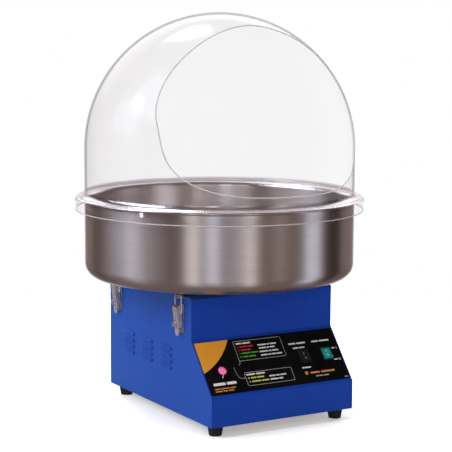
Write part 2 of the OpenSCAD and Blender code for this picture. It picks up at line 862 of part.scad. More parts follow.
// Insulating block on a hanger, with a guide for each brush
module brush_holder() {
    color("saddlebrown") difference() {
        union() {
            block([-14, 36, 86], [14, 60, 120]);
            block([-10, 60, 86], [10, 64, 156]);
        }
        for (z = ring_heights) block([-brush_w / 2, 30, z + 1.5], [brush_w / 2, 56, z + 1.5 + brush_w]);
    }
}

module carbon_brushes() {
    color("black") for (z = ring_heights)
        block([-brush_w / 2, 27 + brush_gap, z + 1.5], [brush_w / 2, 52, z + 1.5 + brush_w]);
}

// ---------------------------------------------------------------- electrics

// Circuit board on pillars, with a heat sink, relay, transformer and terminal block
module control_board() {
    low = [-150, -250, foot_h + 2 * sheet + 6];
    color("darkgreen") {
        block(low, low + [120, 90, 1.6]);
        for (x = [6, 114], y = [6, 84]) translate(low + [x, y, -6 - sheet]) cylinder(r = 3, h = 6 + sheet, $fn = 32);
    }
    color("dimgray") {
        for (i = [0:5]) block(low + [8 + 5 * i, 10, 1.6], low + [10 + 5 * i, 50, 28]);
        block(low + [8, 50, 1.6], low + [35, 54, 28]);
        block(low + [48, 12, 1.6], low + [78, 42, 22]);
        block(low + [86, 12, 1.6], low + [108, 44, 26]);
        block(low + [12, 66, 1.6], low + [108, 78, 14]);
    }
}

// Appliance inlet in the back panel: a recessed socket with three blades
module power_inlet() {
    face_y = cabinet_back + 3;
    color("black") translate([inlet_at[0], 0, inlet_at[1]]) {
        difference() {
            union() {
                block([-25, cabinet_back, -16], [25, face_y, 16]);
                block([-inlet_w / 2, cabinet_back - 24, -inlet_h / 2], [inlet_w / 2, cabinet_back, inlet_h / 2]);
            }
            block([-12.5, cabinet_back - 18, -10], [12.5, face_y + 1, 10]);
            for (s = [-1, 1]) translate([s * 20, 0, 0]) rod_y(1.8, cabinet_back - 1, face_y + 1);
        }
        for (p = [[-7, -3], [7, -3], [0, 4]])
            block([p[0] - 1, cabinet_back - 18, p[1] - 3], [p[0] + 1, cabinet_back - 2, p[1] + 3]);
    }
}

// ---------------------------------------------------------------- parts by name

cabinet_shell();
back_panel();
base_pan();
panel_screws();
control_overlay();
foot_front_left();
foot_front_right();
foot_back_left();
foot_back_right();
foot_screws();
main_power_switch();
main_power_rocker();
heat_mode_switch();
heat_mode_rocker();
latch_base_front_left();
latch_base_front_right();
latch_base_back_left();
latch_base_back_right();
latch_lever_front_left();
latch_lever_front_right();
latch_lever_back_left();
latch_lever_back_right();
latch_bail_front_left();
latch_bail_front_right();
latch_bail_back_left();
latch_bail_back_right();
latch_pins();
latch_rivets();
bowl_strikes();
bowl();
bowl_ring();
dome();
dome_clips();
head_base();
heating_ribbon();
insulator_rings();
head_band();
head_cap();
sugar_cup();
head_screws();
head_nut();
drive_shaft();
motor_rotor();
cooling_fan();
slip_ring_hub();
slip_rings();
motor_shell();
stator_core();
stator_windings();
upper_end_bell();
lower_end_bell();
bearings();
motor_bolts();
motor_plate();
isolators();
isolator_studs();
brush_holder();
carbon_brushes();
control_board();
power_inlet();
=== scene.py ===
import json
import math

import bmesh
import bpy
from mathutils import Matrix, Vector


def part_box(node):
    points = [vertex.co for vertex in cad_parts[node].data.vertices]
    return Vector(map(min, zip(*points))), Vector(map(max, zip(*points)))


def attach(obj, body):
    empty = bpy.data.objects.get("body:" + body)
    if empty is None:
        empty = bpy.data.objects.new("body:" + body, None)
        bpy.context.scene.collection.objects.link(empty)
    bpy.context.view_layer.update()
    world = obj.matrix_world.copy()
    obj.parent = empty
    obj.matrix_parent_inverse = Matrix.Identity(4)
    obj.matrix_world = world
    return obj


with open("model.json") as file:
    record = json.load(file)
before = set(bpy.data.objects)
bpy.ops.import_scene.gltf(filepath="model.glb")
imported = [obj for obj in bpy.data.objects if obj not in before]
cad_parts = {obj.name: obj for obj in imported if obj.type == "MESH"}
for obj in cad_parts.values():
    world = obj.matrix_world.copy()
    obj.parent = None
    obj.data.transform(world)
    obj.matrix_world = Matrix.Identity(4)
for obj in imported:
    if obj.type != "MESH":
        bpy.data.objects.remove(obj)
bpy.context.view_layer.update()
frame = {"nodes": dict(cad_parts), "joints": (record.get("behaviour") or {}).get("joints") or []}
NODES = frame["nodes"]
CORNERS = ("front_left", "front_right", "back_left", "back_right")

# ------------------------------------------------------------------ materials


def add_node(tree, kind, links=None, **props):
    """Adds a node. Each value in links is a socket to join to an input, or a constant for it."""
    node = tree.nodes.new(kind)
    for key, value in props.items():
        setattr(node, key, value)
    for key, value in (links or {}).items():
        if isinstance(value, bpy.types.NodeSocket):
            tree.links.new(value, node.inputs[key])
        else:
            node.inputs[key].default_value = value
    return node


class Shader:
    """A material's node tree, with short ways to add nodes."""

    def __init__(self, name, **sockets):
        self.mat = bpy.data.materials.new(name)
        self.mat.use_nodes = True
        self.tree = self.mat.node_tree
        self.bsdf = self.tree.nodes["Principled BSDF"]
        self.out = self.tree.nodes["Material Output"]
        self.place = self.add("ShaderNodeTexCoord").outputs["Object"]
        for key, value in sockets.items():
            self.bsdf.inputs[key.replace("_", " ")].default_value = value

    def add(self, kind, links=None, **props):
        return add_node(self.tree, kind, links, **props)

    def math(self, op, a, b=0.0):
        return self.add("ShaderNodeMath", {0: a, 1: b}, operation=op).outputs[0]

    def scaled(self, vector, scale):
        node = self.add("ShaderNodeMapping", {"Vector": vector, "Scale": scale})
        return node.outputs[0]

    def noise(self, scale, detail=3.0, rough=0.55, vector=None, stretch=None):
        source = vector or self.place
        if stretch:
            source = self.scaled(source, stretch)
        node = self.add(
            "ShaderNodeTexNoise",
            {"Vector": source, "Scale": scale, "Detail": detail, "Roughness": rough},
        )
        return node.outputs["Fac"]

    def span(self, value, low, high, from_low=0.0, from_high=1.0, smooth=False):
        """value from from_low..from_high, mapped to low..high and held at both ends."""
        ends = {"From Min": from_low, "From Max": from_high, "To Min": low, "To Max": high}
        node = self.add(
            "ShaderNodeMapRange",
            {"Value": value, **ends},
            interpolation_type="SMOOTHSTEP" if smooth else "LINEAR",
        )
        return node.outputs["Result"]

    def blend(self, factor, a, b):
        """Colour a where factor is 0 and b where it is 1."""
        node = self.add("ShaderNodeMix", data_type="RGBA")
        for key, value in ((0, factor), (6, a), (7, b)):
            if isinstance(value, bpy.types.NodeSocket):
                self.tree.links.new(value, node.inputs[key])
            else:
                node.inputs[key].default_value = value if key == 0 else (*value, 1.0)[:4]
        return node.outputs[2]

    def set(self, socket, value):
        self.tree.links.new(value, self.bsdf.inputs[socket])

    def bump(self, height, strength, distance, below=None):
        links = {"Height": height, "Strength": strength, "Distance": distance}
        if below is not None:
            links["Normal"] = below
        return self.add("ShaderNodeBump", links).outputs["Normal"]

    def round_coords(self):
        """Angle about the upright axis, distance from it and height, as three sockets."""
        parts = self.add("ShaderNodeSeparateXYZ", {"Vector": self.place}).outputs
        angle = self.math("ARCTAN2", parts[1], parts[0])
        squares = [self.math("MULTIPLY", part, part) for part in (parts[0], parts[1])]
        radius = self.math("SQRT", self.math("ADD", *squares))
        return angle, radius, parts[2]

    def turned_vector(self, angle, radius, height, along, across):
        """Noise coordinates for marks drawn out round the axis: along scales the angle, across the rest."""
        scales = ((angle, along), (radius, across), (height, across))
        scaled = [self.math("MULTIPLY", value, scale) for value, scale in scales]
        return self.add("ShaderNodeCombineXYZ", {0: scaled[0], 1: scaled[1], 2: scaled[2]}).outputs[0]


def painted(name, light, dark, roughness):
    """Powder coat: a fine orange peel, slight tone drift and pale flecks, under a faint blue sheen."""
    s = Shader(
        name,
        Roughness=roughness,
        Specular_IOR_Level=0.10,
        Specular_Tint=(0.5, 1.0, 1.0, 1.0),
        Sheen_Weight=0.28,
        Sheen_Roughness=0.5,
        Sheen_Tint=(0.32, 0.80, 1.0, 1.0),
    )
    drift = s.noise(4.0, 2.0)
    fleck = s.noise(1400.0, 1.0)
    tone = s.blend(s.span(drift, 0.15, 0.85, 0.3, 0.7), light, dark)
    pale = (light[0] * 1.8 + 0.008, light[1] * 1.5 + 0.008, light[2] * 1.25)
    s.set("Base Color", s.blend(s.span(fleck, 0.0, 0.10, 0.35, 0.75), tone, pale))
    s.set("Roughness", s.span(s.noise(35.0, 4.0), roughness - 0.06, roughness + 0.07, 0.3, 0.7))
    peel_bump = s.bump(s.noise(520.0, 2.0), 0.12, 0.0006)
    s.set("Normal", s.bump(s.noise(60.0, 2.0), 0.04, 0.002, peel_bump))
    return s.mat


def brushed_round(name, colour, roughness=0.3):
    """Steel brushed round the upright axis: hair lines follow the circumference."""
    drift = 0.03
    s = Shader(name, Metallic=1.0, Anisotropic=0.8, Anisotropic_Rotation=0.25)
    angle, radius, height = s.round_coords()
    hair, streak = ((5.0, 1500.0), (2.0, 90.0))
    lines = s.noise(1.0, 4.0, 0.65, s.turned_vector(angle, radius, height, *hair))
    wide = s.noise(1.0, 2.0, 0.5, s.turned_vector(angle, radius, height, *streak))
    tone = s.math("ADD", s.math("MULTIPLY", lines, 0.7), s.math("MULTIPLY", wide, 0.3))
    dark = tuple(c * 0.94 for c in colour)
    light = tuple(min(1.0, c * 1.05) for c in colour)
    s.set("Base Color", s.blend(s.span(tone, 0.0, 1.0, 0.35, 0.65), dark, light))
    s.set("Roughness", s.span(tone, roughness + drift, roughness - drift, 0.3, 0.7))
    s.set("Normal", s.bump(lines, 0.15, 0.00002))
    tangent = s.add("ShaderNodeTangent", direction_type="RADIAL", axis="Z").outputs[0]
    s.set("Tangent", tangent)
    return s.mat


def plated(name, light, dark, roughness, marks=0.12, metallic=1.0):
    """Bright plating: small clouding, fine scratches and soft wear."""
    s = Shader(name, Metallic=metallic)
    cloud = s.noise(120.0, 3.0)
    scratch = s.noise(1.0, 3.0, 0.6, stretch=(260.0, 260.0, 2600.0))
    s.set("Base Color", s.blend(s.span(cloud, 0.0, 1.0, 0.35, 0.65), light, dark))
    s.set("Roughness", s.span(scratch, roughness - marks / 2, roughness + marks, 0.3, 0.7))
    s.set("Normal", s.bump(scratch, 0.08, 0.0001))
    return s.mat


def moulded(name, colour, roughness, grain=0.2, scale=1800.0, lift=1.6):
    """Moulded plastic or rubber: a spark-eroded grain with faint dust in it; lift is how pale the dust is."""
    s = Shader(name, Roughness=roughness, Specular_IOR_Level=0.2)
    pits = s.noise(scale, 2.0)
    dust = s.noise(25.0, 4.0)
    dusty = tuple(min(1.0, c * lift + 0.004) for c in colour)
    s.set("Base Color", s.blend(s.span(dust, 0.0, 1.0, 0.4, 0.8), colour, dusty))
    s.set("Roughness", s.span(pits, roughness - 0.08, roughness + 0.1, 0.3, 0.7))
    s.set("Normal", s.bump(pits, grain, 0.0002))
    return s.mat


def turned(name, colour, roughness):
    """Lathe-turned metal: fine grooves that follow the turning."""
    s = Shader(name, Metallic=1.0)
    angle, radius, height = s.round_coords()
    groove = s.noise(1.0, 3.0, 0.6, s.turned_vector(angle, radius, height, 1.5, 2200.0))
    blotch = s.noise(45.0, 3.0)
    dull = tuple(c * 0.78 for c in colour)
    s.set("Base Color", s.blend(s.span(blotch, 0.0, 1.0, 0.35, 0.7), colour, dull))
    s.set("Roughness", s.span(groove, roughness - 0.07, roughness + 0.12, 0.3, 0.7))
    s.set("Normal", s.bump(groove, 0.2, 0.0001))
    return s.mat


def zinc():
    """Zinc-plated steel with a faint spangle."""
    s = Shader("zinc_plate", Metallic=1.0)
    cells = s.add("ShaderNodeTexVoronoi", {"Vector": s.place, "Scale": 130.0}, feature="F1").outputs["Color"]
    spangle = s.add("ShaderNodeSeparateColor", {"Color": cells}).outputs[0]
    s.set("Base Color", s.blend(spangle, (0.50, 0.51, 0.53), (0.66, 0.67, 0.68)))
    s.set("Roughness", s.span(spangle, 0.32, 0.46))
    s.set("Normal", s.bump(s.noise(900.0), 0.08, 0.0002))
    return s.mat


def see_through(s, share, tint):
    """Mixes the shader with clear: share is how much of it shows, tint the colour of what passes through."""
    glass = s.add("ShaderNodeBsdfTransparent")
    if isinstance(tint, bpy.types.NodeSocket):
        s.tree.links.new(tint, glass.inputs["Color"])
    else:
        glass.inputs["Color"].default_value = (*tint, 1.0)
    mix = s.add("ShaderNodeMixShader", {0: share})
    s.tree.links.new(glass.outputs[0], mix.inputs[1])
    s.tree.links.new(s.bsdf.outputs[0], mix.inputs[2])
    s.tree.links.new(mix.outputs[0], s.out.inputs["Surface"])


def clear_plastic():
    """Clear sheet: see-through face on, glossier as it turns away.

    Four things are set by place, in metres in the dome's own frame. The rear half is tinted a little
    darker than the front, as painted shade. The collar, which is the flange and the fillet above it, is
    tinted and glossier. The wall above the collar has a grey outline where it is seen edge on.
    """
    # Span front to back over which the painted shade of the darker rear half fades in
    rear_from, rear_to = -0.12, 0.12
    collar_from, collar_to = 0.4975, 0.4995
    wall_from, wall_to = 0.506, 0.516
    s = Shader("clear_sheet", Metallic=1.0)
    haze = s.noise(9.0, 3.0)
    s.set("Base Color", s.blend(s.span(haze, 0.0, 1.0, 0.35, 0.65), (0.88, 0.88, 0.89), (0.93, 0.93, 0.94)))
    s.set("Roughness", s.span(haze, 0.06, 0.12, 0.3, 0.7))
    s.set("Normal", s.bump(s.noise(7.0, 2.0), 0.05, 0.002))
    facing = s.add("ShaderNodeLayerWeight", {"Blend": 0.5}).outputs["Facing"]
    split = s.add("ShaderNodeSeparateXYZ", {"Vector": s.place})
    height, rear = split.outputs[2], s.span(split.outputs[1], 0.0, 1.0, rear_from, rear_to, smooth=True)
    wall = s.span(height, 0.0, 1.0, wall_from, wall_to, smooth=True)
    collar = s.math("MULTIPLY", s.span(height, 0.0, 1.0, collar_from, collar_to), s.span(wall, 1.0, 0.0))
    outline = s.math("MULTIPLY", wall, s.span(facing, 0.0, 1.0, 0.81, 0.92, smooth=True))
    strength = s.math("MULTIPLY", s.span(collar, 0.15, 0.05), s.span(outline, 1.0, 0.3))
    gloss = s.math("MULTIPLY", s.math("POWER", facing, 5.0), strength)
    shine = s.math("ADD", gloss, s.span(collar, 0.011, 0.34))
    # Painted shade: the rear half of the sheet is tinted darker than the front.
    tint_with_painted_rear_shade = s.blend(rear, (0.992, 0.990, 0.991), (0.962, 0.957, 0.960))
    tint = s.blend(collar, tint_with_painted_rear_shade, (0.83, 0.805, 0.83))
    see_through(s, shine, s.blend(outline, tint, (0.70, 0.70, 0.71)))
    return s.mat


def cut_edge():
    """Sawn and polished edge of the clear sheet: grey on white, pale on dark."""
    s = Shader("cut_edge", IOR=1.49)
    saw = s.noise(900.0, 3.0)
    s.set("Base Color", s.blend(s.span(saw, 0.0, 1.0, 0.3, 0.7), (0.46, 0.45, 0.46), (0.62, 0.61, 0.62)))
    s.set("Roughness", s.span(saw, 0.15, 0.35, 0.3, 0.7))
    see_through(s, s.span(saw, 0.5, 0.62, 0.3, 0.7), (0.88, 0.88, 0.89))
    return s.mat


def ribbon():
    """Heating alloy, tinted by heat."""
    s = Shader("ribbon_alloy", Metallic=1.0)
    heat = s.noise(60.0, 3.0)
    s.set("Base Color", s.blend(s.span(heat, 0.0, 1.0, 0.3, 0.7), (0.30, 0.20, 0.14), (0.42, 0.36, 0.33)))
    s.set("Roughness", s.span(heat, 0.38, 0.6))
    s.set("Normal", s.bump(s.noise(1600.0), 0.1, 0.0001))
    return s.mat


def stacked(name, light, dark, pitch, roughness):
    """Thin sheets stacked along the upright axis."""
    s = Shader(name, Metallic=0.8)
    height = s.add("ShaderNodeSeparateXYZ", {"Vector": s.place}).outputs[2]
    line = s.math("PINGPONG", height, pitch)
    shade = s.span(line, 0.0, 1.0, 0.0, pitch)
    s.set("Base Color", s.blend(shade, dark, light))
    s.set("Roughness", s.span(s.noise(80.0), roughness - 0.1, roughness + 0.1, 0.3, 0.7))
    s.set("Normal", s.bump(shade, 0.4, 0.0004))
    return s.mat


def wound():
    """Enamelled copper wire: round turns a wire apart, with painted shade across each turn."""
    s = Shader("enamelled_wire", Metallic=0.7)
    angle, radius, height = s.round_coords()
    pitch = 0.0006
    wire = s.math("PINGPONG", radius, pitch)
    turns = s.math("PINGPONG", s.math("ADD", height, s.math("MULTIPLY", angle, pitch)), pitch)
    # Painted shade: the colour runs from near black to copper and back across each turn of the wire.
    shade = s.span(s.math("ADD", wire, turns), 0.0, 1.0, 0.0, 2 * pitch)
    s.set("Base Color", s.blend(shade, (0.18, 0.06, 0.02), (0.62, 0.28, 0.12)))
    s.set("Roughness", s.span(shade, 0.5, 0.25))
    s.set("Normal", s.bump(shade, 0.6, 0.0005))
    return s.mat


def board():
    """Printed board with gold tracks, and dark parts on it."""
    s = Shader("circuit_board", Roughness=0.35)
    foot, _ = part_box("control_board")
    board_top = foot[2] + 0.0094
    height = s.add("ShaderNodeSeparateXYZ", {"Vector": s.place}).outputs[2]
    on_board = s.math("LESS_THAN", height, board_top)
    greens = {"Color1": (0.01, 0.13, 0.05, 1), "Color2": (0.015, 0.20, 0.07, 1)}
    grid = {"Scale": 160.0, "Mortar Size": 0.04, "Mortar": (0.35, 0.30, 0.10, 1)}
    tracks = s.add("ShaderNodeTexBrick", {"Vector": s.place, **greens, **grid}).outputs["Color"]
    parts = s.blend(s.noise(90.0), (0.03, 0.03, 0.035), (0.10, 0.10, 0.11))
    s.set("Base Color", s.blend(on_board, parts, tracks))
    s.set("Roughness", s.span(s.noise(200.0), 0.28, 0.5, 0.3, 0.7))
    return s.mat


def glow_rocker():
    """Tinted rocker with a lamp behind it."""
    s = Shader("lit_rocker", Roughness=0.28, Specular_IOR_Level=0.1)
    cloud = s.noise(70.0, 2.0)
    colour = s.blend(s.span(cloud, 0.0, 1.0, 0.3, 0.7), (0.001, 0.13, 0.118), (0.003, 0.24, 0.215))
    s.set("Base Color", colour)
    s.set("Emission Color", colour)
    s.bsdf.inputs["Emission Strength"].default_value = 0.20
    s.set("Roughness", s.span(s.noise(900.0), 0.22, 0.36, 0.3, 0.7))
    s.set("Normal", s.bump(s.noise(1500.0), 0.05, 0.0001))
    return s.mat


def printed(name, colour):
    """Screen ink on film: slightly uneven cover."""
    s = Shader(name, Roughness=0.5)
    cover = s.noise(700.0, 2.0)
    s.set("Base Color", s.blend(s.span(cover, 0.0, 0.35, 0.35, 0.75), colour, tuple(c * 0.7 for c in colour)))
    s.set("Roughness", s.span(cover, 0.42, 0.6, 0.3, 0.7))
    return s.mat


def film():
    """Black printed film with a fine even texture."""
    s = Shader("panel_film", Roughness=0.4, Specular_IOR_Level=0.012)
    grain = s.noise(2600.0, 1.0)
    drift = s.span(s.noise(12.0, 3.0), 0.0, 1.0, 0.35, 0.7)
    s.set("Base Color", s.blend(drift, (0.0030, 0.0030, 0.0030), (0.0060, 0.0058, 0.0056)))
    s.set("Roughness", s.span(grain, 0.36, 0.5, 0.3, 0.7))
    s.set("Normal", s.bump(grain, 0.10, 0.0001))
    return s.mat


def flecked(name, light, dark, scale, roughness, bump=0.1):
    """Fired or pressed material with grains of two tones."""
    s = Shader(name, Roughness=roughness)
    fleck = s.noise(scale, 4.0, 0.65)
    s.set("Base Color", s.blend(s.span(fleck, 0.0, 1.0, 0.3, 0.7), dark, light))
    s.set("Roughness", s.span(fleck, roughness - 0.08, roughness + 0.1, 0.3, 0.7))
    s.set("Normal", s.bump(fleck, bump, 0.0003))
    return s.mat


STEEL = (0.74, 0.69, 0.675)
MATERIALS = {
    "blue": painted("blue_powder_coat", (0.0024, 0.026, 0.255), (0.0018, 0.022, 0.230), 0.40),
    "black_enamel": painted("black_enamel", (0.020, 0.020, 0.022), (0.012, 0.012, 0.013), 0.4),
    "steel_round": brushed_round("brushed_bowl_steel", STEEL),
    "steel_fine": brushed_round("brushed_head_steel", (0.76, 0.74, 0.73), 0.24),
    "zinc": zinc(),
    "nickel": plated("nickel_plate", (0.74, 0.65, 0.60), (0.50, 0.41, 0.37), 0.26, 0.18, 0.72),
    "bright": plated("bright_wire", (0.90, 0.87, 0.84), (0.76, 0.73, 0.70), 0.22, 0.12, 0.75),
    "film": film(),
    "rubber": moulded("moulded_rubber", (0.010, 0.010, 0.010), 0.68, 0.25, 1300.0),
    "black_plastic": moulded("black_plastic", (0.006, 0.006, 0.0065), 0.5),
    "black_rocker": moulded("black_rocker", (0.006, 0.006, 0.006), 0.4, 0.08, 1500.0),
    "green_rocker": glow_rocker(),
    "clear": clear_plastic(),
    "clear_edge": cut_edge(),
    "white_plastic": moulded("white_plastic", (0.72, 0.71, 0.67), 0.4, 0.1, 1500.0, 0.9),
    "aluminium": turned("turned_aluminium", (0.70, 0.70, 0.71), 0.3),
    "brass": turned("turned_brass", (0.72, 0.50, 0.20), 0.25),
    "ribbon": ribbon(),
    "ceramic": flecked("glazed_ceramic", (0.78, 0.75, 0.66), (0.66, 0.62, 0.52), 90.0, 0.3, 0.05),
    "lamination": stacked("laminations", (0.34, 0.35, 0.37), (0.10, 0.10, 0.11), 0.0005, 0.45),
    "copper": wound(),
    "phenolic": flecked("phenolic_board", (0.24, 0.10, 0.045), (0.12, 0.045, 0.02), 220.0, 0.5),
    "carbon": flecked("pressed_carbon", (0.045, 0.045, 0.05), (0.02, 0.02, 0.022), 900.0, 0.6),
    "board": board(),
    "ink_white": printed("ink_white", (0.62, 0.62, 0.62)),
    "ink_grey": printed("ink_grey", (0.30, 0.30, 0.30)),
    "ink_red": printed("ink_red", (0.52, 0.012, 0.030)),
    "ink_green": printed("ink_green", (0.06, 0.30, 0.02)),
    "ink_yellow": printed("ink_yellow", (0.50, 0.56, 0.06)),
    "ink_orange": printed("ink_orange", (0.64, 0.262, 0.016)),
    "ink_pink": printed("ink_pink", (0.80, 0.075, 0.34)),
    "ink_blush": printed("ink_blush", (0.92, 0.52, 0.74)),
    "ink_tan": printed("ink_tan", (0.52, 0.20, 0.05)),
}

WEARS = {
    "blue": ("cabinet_shell", "back_panel"),
    "zinc": ("base_pan", "panel_screws", "foot_screws", "motor_bolts", "isolator_studs")
    + ("head_screws", "motor_plate", "latch_rivets"),
    "film": ("control_overlay",),
    "rubber": tuple("foot_" + c for c in CORNERS) + ("bowl_ring", "isolators"),
    "black_plastic": ("main_power_switch", "heat_mode_switch", "power_inlet"),
    "green_rocker": ("main_power_rocker",),
    "black_rocker": ("heat_mode_rocker",),
    "nickel": tuple(p + c for p in ("latch_base_", "latch_lever_") for c in CORNERS)
    + ("latch_pins", "bowl_strikes"),
    "bright": tuple("latch_bail_" + c for c in CORNERS) + ("bearings",),
    "steel_round": ("bowl",),
    "steel_fine": ("head_band", "sugar_cup", "drive_shaft"),
    "clear": ("dome",),
    "white_plastic": ("dome_clips",),
    "aluminium": ("head_base", "head_cap", "head_nut", "upper_end_bell", "lower_end_bell", "cooling_fan"),
    "ribbon": ("heating_ribbon",),
    "ceramic": ("insulator_rings",),
    "black_enamel": ("motor_shell",),
    "lamination": ("motor_rotor", "stator_core"),
    "copper": ("stator_windings",),
    "phenolic": ("slip_ring_hub", "brush_holder"),
    "brass": ("slip_rings",),
    "carbon": ("carbon_brushes",),
    "board": ("control_board",),
}
for finish, names in WEARS.items():
    for name in names:
        for slot in NODES[name].material_slots:
            slot.material = MATERIALS[finish]

# ------------------------------------------------------------------ pieces


def piece(name, mesh_maker, material, body, smooth=None):
    """A closed mesh piece that rides on a body; smooth is the crease angle in degrees."""
    bm = bmesh.new()
    mesh_maker(bm)
    bmesh.ops.remove_doubles(bm, verts=bm.verts, dist=1e-7)
    bmesh.ops.recalc_face_normals(bm, faces=bm.faces)
    mesh = bpy.data.meshes.new(name)
    bm.to_mesh(mesh)
    bm.free()
    mesh.materials.append(MATERIALS[material])
    obj = bpy.data.objects.new(name, mesh)
    bpy.context.scene.collection.objects.link(obj)
    if smooth is not None:
        mesh.shade_smooth()
        mesh.set_sharp_from_angle(angle=math.radians(smooth))
    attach(obj, body)
    return obj


def prism(bm, outline, low, high, place):
    """A closed prism of an outline between two heights, put in place by a matrix."""
    rings = [[bm.verts.new(place @ Vector((x, y, z))) for x, y in outline] for z in (low, high)]
    bm.faces.new(list(reversed(rings[0])))
    bm.faces.new(rings[1])
    n = len(outline)
    for i in range(n):
        j = (i + 1) % n
        bm.faces.new([rings[0][i], rings[0][j], rings[1][j], rings[1][i]])


def band(bm, outer, inner, low, high, place):
    """A closed flat ring between two outlines of the same number of points."""
    edges = ((outer, low), (outer, high), (inner, low), (inner, high))
    ol, oh, il, ih = [[bm.verts.new(place @ Vector((x, y, z))) for x, y in pts] for pts, z in edges]
    n = len(outer)
    for i in range(n):
        j = (i + 1) % n
        bm.faces.new([ol[i], ol[j], oh[j], oh[i]])
        bm.faces.new([il[j], il[i], ih[i], ih[j]])
        bm.faces.new([oh[i], oh[j], ih[j], ih[i]])
        bm.faces.new([ol[j], ol[i], il[i], il[j]])


def round_rect(x0, y0, x1, y1, r, steps=5):
    """A rectangle's outline with corners of radius r, steps points to each."""
    pts = []
    corners = ((x1 - r, y1 - r, 0), (x0 + r, y1 - r, 90), (x0 + r, y0 + r, 180), (x1 - r, y0 + r, 270))
    for cx, cy, a in corners:
        for k in range(steps + 1):
            t = math.radians(a + 90 * k / steps)
            pts.append((cx + r * math.cos(t), cy + r * math.sin(t)))
    return pts


def full_turn(steps):
    return [2 * math.pi * k / steps for k in range(steps)]


def circle(cx, cy, r, steps=32):
    return [(cx + r * math.cos(t), cy + r * math.sin(t)) for t in full_turn(steps)]


def stroke(points, width):
    """A line's outline with a given width, as an open path turned into a closed polygon."""
    left, right = [], []
    for i, p in enumerate(points):
        a = Vector(points[max(i - 1, 0)])
        b = Vector(points[min(i + 1, len(points) - 1)])
        d = (b - a).normalized()
        n = Vector((-d.y, d.x)) * width / 2
        left.append(tuple(Vector(p) + n))
        right.append(tuple(Vector(p) - n))
    return right + list(reversed(left))


MM = 0.001

# ------------------------------------------------------------------ panel print

# The slope's lower edge and how far it runs back and up. Print is drawn on it in millimetres,
# from the slope's middle to the right and from its lower edge upwards.
SLOPE_FOOT = Vector((0.0, -0.293, 0.091))
SLOPE_BACK, SLOPE_UP = 0.093, 0.113
SLOPE_ANGLE = math.atan2(SLOPE_UP, SLOPE_BACK)
SLOPE = Matrix.Translation(SLOPE_FOOT) @ Matrix.Rotation(SLOPE_ANGLE, 4, "X") @ Matrix.Scale(MM, 4)
# Lowest and highest height of the ink above the slope; strands lie a little over the puff
INK_LOW, INK_HIGH = 0.78, 0.86
STRAND_HIGH = INK_HIGH + 0.03
# Gap between two words as a share of the mean word
WORD_GAP = 0.12


def words(x0, x1, s, height, shares):
    """Word-like dashes between x0 and x1: shares lists how long each is beside the others."""
    total = sum(shares) + WORD_GAP * (len(shares) - 1) * sum(shares) / len(shares)
    x, out = x0, []
    for share in shares:
        width = (x1 - x0) * share / total
        out.append(round_rect(x, s - height / 2, x + width, s + height / 2, min(height, width) * 0.3, 3))
        x += width + (x1 - x0) * WORD_GAP * (sum(shares) / len(shares)) / total
    return out


def ink(name, colour, outlines=(), rings=()):
    """Print on the film: filled outlines, and rings given as an outer and an inner outline."""

    def make(bm):
        for o in outlines:
            prism(bm, o, INK_LOW, INK_HIGH, SLOPE)
        for a, b in rings:
            band(bm, a, b, INK_LOW, INK_HIGH, SLOPE)

    return piece(name, make, colour, "machine")


def frame_ring(x0, y0, x1, y1, r, w):
    return round_rect(x0, y0, x1, y1, r), round_rect(x0 + w, y0 + w, x1 - w, y1 - w, r - w)


def sector():
    """Corner patch bounded by the film's top and left edges and one shallow arc."""
    a, b = Vector((-97.0, 138.6)), Vector((-183.6, 62.6))
    mid, half = (a + b) / 2, (a - b).length / 2
    bulge = 9.2
    radius = (half * half + bulge * bulge) / (2 * bulge)
    out = Vector((-(b - a).y, (b - a).x)).normalized()
    centre = mid + out * (bulge - radius)
    t0 = math.atan2(b.y - centre.y, b.x - centre.x)
    t1 = math.atan2(a.y - centre.y, a.x - centre.x)
    steps = 24
    turns = [t0 + (t1 - t0) * k / steps for k in range(steps + 1)]
    pts = [(centre.x + radius * math.cos(t), centre.y + radius * math.sin(t)) for t in turns]
    return pts + [(-182.0, 138.6), (-183.6, 137.0)]


ink("print_corner", "ink_orange", [sector()])
ink(
    "print_frames",
    "ink_grey",
    [
        stroke([(-86.0, 84.0), (-86.0, 76.5), (-91.5, 73.0)], 1.0),
        stroke([(-105.5, 69.5), (-105.0, 55.0), (-101.0, 43.5), (-96.0, 40.3), (-85.5, 40.0)], 1.0),
    ],
    [frame_ring(-86.4, 82.2, 39.2, 132.8, 4.0, 1.1), frame_ring(-85.6, 19.6, 38.8, 53.4, 4.0, 1.1)],
)
ink(
    "print_white",
    "ink_white",
    words(-80.0, -42.0, 126.0, 3.6, (4, 6))
    + words(-26.0, 24.0, 117.3, 3.3, (7, 2, 5))
    + words(-25.0, 17.0, 109.2, 3.3, (6, 2, 4))
    + words(-26.5, 23.5, 100.2, 3.3, (7, 2, 5))
    + words(-26.0, 30.5, 91.2, 3.3, (5, 2, 3, 4))
    + words(-81.5, -33.0, 47.4, 3.6, (6, 6))
    + words(-24.5, 21.0, 37.8, 3.3, (5, 3, 5))
    + words(-24.5, 9.0, 29.4, 3.3, (6, 3))
    + words(54.5, 100.0, 109.8, 3.9, (4, 5))
    + words(117.0, 165.0, 109.5, 3.9, (4, 6))
    + words(62.0, 94.0, 98.0, 3.4, (4, 4))
    + words(67.0, 91.0, 46.6, 3.4, (1,))
    + words(164.5, 172.5, 87.5, 3.0, (1,))
    + words(159.5, 170.0, 58.0, 3.0, (1,))
    + [round_rect(177.0, 85.2, 178.2, 90.0, 0.4, 2)]
    + words(-171.0, -112.0, 33.0, 6.5, (5, 4)),
    [(circle(175.5, 58.0, 2.6), circle(175.5, 58.0, 1.6))],
)


